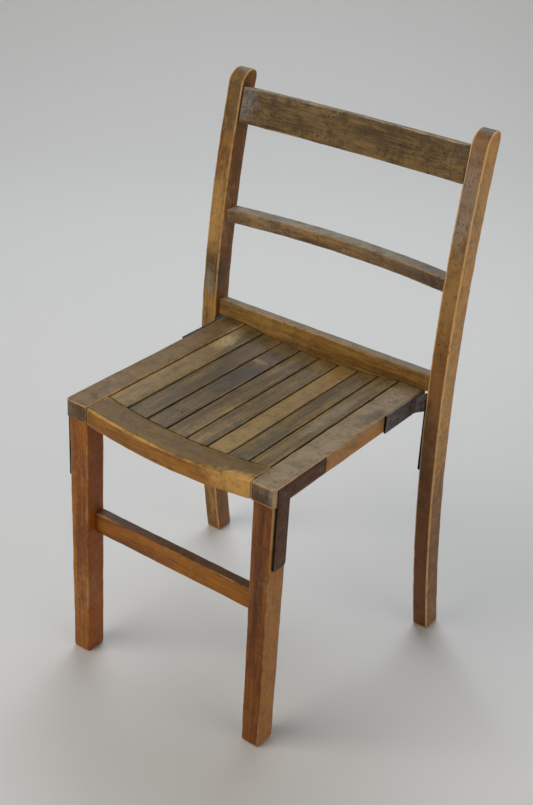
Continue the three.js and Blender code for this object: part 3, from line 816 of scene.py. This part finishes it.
mid_bottom, mid_height, mid_thickness, mid_bow = 610 * mm, 22 * mm, 25 * mm, 17.5 * mm
mid_front = post_front(mid_bottom + mid_height) + 4 * mm
mid_rail = bowed_rail("mid_rail_wood", mid_bottom, mid_height, mid_thickness, mid_front, mid_bow)
mid_wood = stained_timber(
    "mid rail wood", "X", dark=(98, 76, 54), light=(152, 122, 84), bare=(158, 120, 80), end=(60, 46, 36),
    top_dust_and_sheen=((120, 114, 98), 0.8), stains=[((0.16, 0.17, 0.62), (0.08, 0.03, 0.03), (84, 74, 68), 0.65)],
    rub=0.05, mottle=0.5, scuffs=0.2,
)
worn_piece(mid_rail, ["mid_rail"], mid_wood)

crest_bottom, crest_height, crest_thickness, crest_bow = 768 * mm, 54 * mm, 20 * mm, 9 * mm
crest_rise = crest_bottom + crest_height / 2 - knee_height
crest_lean = math.atan(2 * top_rake * crest_rise / (post_height - knee_height) ** 2)
crest_board_height = crest_height / math.cos(crest_lean)
crest_front = post_front(crest_bottom) + 3 * mm
crest = bowed_rail(
    "crest_rail_wood", crest_bottom, crest_board_height, crest_thickness, crest_front, crest_bow, crest_lean
)
crest_wood = stained_timber(
    "crest rail wood", "X", dark=(72, 58, 36), light=(124, 100, 62), bare=(172, 142, 92), end=(56, 48, 38),
    top_dust_and_sheen=((124, 114, 92), 0.7),
    # The pale grey patch at the left end of the crest is a painted highlight
    stains=[((-0.195, 0.19, 0.80), (0.03, 0.03, 0.03), (128, 126, 122), 0.55)],
    mottle=0.7, mottle_colour=(66, 50, 34), specks=0.8,
)
worn_piece(crest, ["crest_rail"], crest_wood)

# ------------------------------------------------------------------ brackets
# Flat mild steel, cut, bent cold and punched for countersunk screws. The dark paint has chipped to
# rust along the edges: red-brown on the front brackets and nearly black on the rear ones. Their faces
# that look forward are painted nearly black as shade.

rusty_edge, rust_in, rust_out = effect(
    "rusty edge", [("Place", "Vector"), ("Arris", "Float")], [("Chipped", "Float"), ("Rust", "Float")]
)
rust_fine = noise(rusty_edge, rust_in["Place"], 150, 5, 0.7)
rust_broad = noise(rusty_edge, rust_in["Place"], 28, 4, 0.6)
rust_reach = sums(rusty_edge, "MULTIPLY_ADD", rust_in["Arris"], 0.35, rust_fine)
rusty_edge.links.new(ramp(rusty_edge, rust_reach, 0.66, 0.86), rust_out["Chipped"])
rusty_edge.links.new(ramp(rusty_edge, rust_broad, 0.45, 0.65), rust_out["Rust"])


def painted_steel(name, coat, worn, scuff, polish):
    """Old brushed paint on flat steel, chipped along its edges, with rust bloom and scuffs, and painted
    shade that makes faces looking forward nearly black
    """
    material = bpy.data.materials.new(name)
    material.use_nodes = True
    tree = material.node_tree
    here = put(tree, "TexCoord").outputs
    arris = put(tree, "Attribute", attribute_name="arris").outputs["Fac"]
    wear = use(tree, rusty_edge, {"Place": here["Object"], "Arris": arris})
    grime = use(tree, old_grime, {"Place": here["Object"]})
    colour = lay(tree, paint(*coat), paint(*worn), sums(tree, "MULTIPLY", wear["Rust"], 0.7))
    colour = lay(tree, colour, paint(*scuff), sums(tree, "MULTIPLY", wear["Chipped"], 0.6))
    colour = lay(tree, colour, paint(*scuff), sums(tree, "MULTIPLY", grime["Scuffs"], 0.5))
    colour = lay(tree, colour, paint(20, 16, 15), sums(tree, "MULTIPLY", grime["Mottle"], 0.5))
    # Painted shade: faces that look forward, such as the brackets' front edges, are laid nearly black
    forward_shade = towards(tree, here["Normal"], (0, -1, 0))
    colour = lay(tree, colour, paint(24, 19, 18), ramp(tree, forward_shade, 0.5, 0.8))
    brushed = noise(tree, stretched(tree, here["Object"], (1, 6, 1)), 90, 4, 0.7)
    dull = sums(tree, "MULTIPLY_ADD", brushed, 0.3, polish)
    height = sums(tree, "SUBTRACT", brushed, sums(tree, "MULTIPLY", wear["Chipped"], 0.8))
    relief = put(tree, "Bump", {"Height": height, "Strength": 0.5, "Distance": 0.0004}).outputs[0]
    shader = tree.nodes["Principled BSDF"]
    shader.inputs["Specular IOR Level"].default_value = 0.25
    tree.links.new(colour, shader.inputs["Base Color"])
    tree.links.new(sums(tree, "MULTIPLY", wear["Chipped"], 0.5), shader.inputs["Metallic"])
    tree.links.new(dull, shader.inputs["Roughness"])
    tree.links.new(relief, shader.inputs["Normal"])
    return material


front_paint = painted_steel("front bracket paint", (68, 38, 18), (80, 42, 18), (110, 84, 64), 0.38)
rear_paint = painted_steel("rear bracket paint", (42, 38, 36), (54, 46, 42), (120, 112, 110), 0.22)
for side in ("right", "left"):
    for end, coat in (("front", front_paint), ("rear", rear_paint)):
        node = f"{end}_bracket_{side}"
        bracket = duplicate(frame["nodes"][node], f"{node}_steel")
        bracket.parent = None
        del bracket["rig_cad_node"]
        bpy.ops.object.mode_set(mode="EDIT")
        bpy.ops.mesh.select_all(action="SELECT")
        bpy.ops.mesh.remove_doubles(threshold=0.01 * mm)
        bpy.ops.mesh.dissolve_limited(angle_limit=math.radians(1))
        ease_arrises(bracket, 0.5 * mm, 2)
        bpy.ops.object.mode_set(mode="OBJECT")
        worn_piece(bracket, [node], coat, 0)

# ------------------------------------------------------------------ screws
# Slotted countersunk wood screws hold the brackets, sunk just below the paint, their heads dark
# with old varnish and rubbed bright across the slot.

screw_metal = painted_steel("screw steel", (92, 84, 76), (74, 60, 50), (160, 154, 146), 0.25)
for node, screw in frame["nodes"].items():
    if "_screw_" in node:
        screw.data.materials.clear()
        screw.data.materials.append(screw_metal)
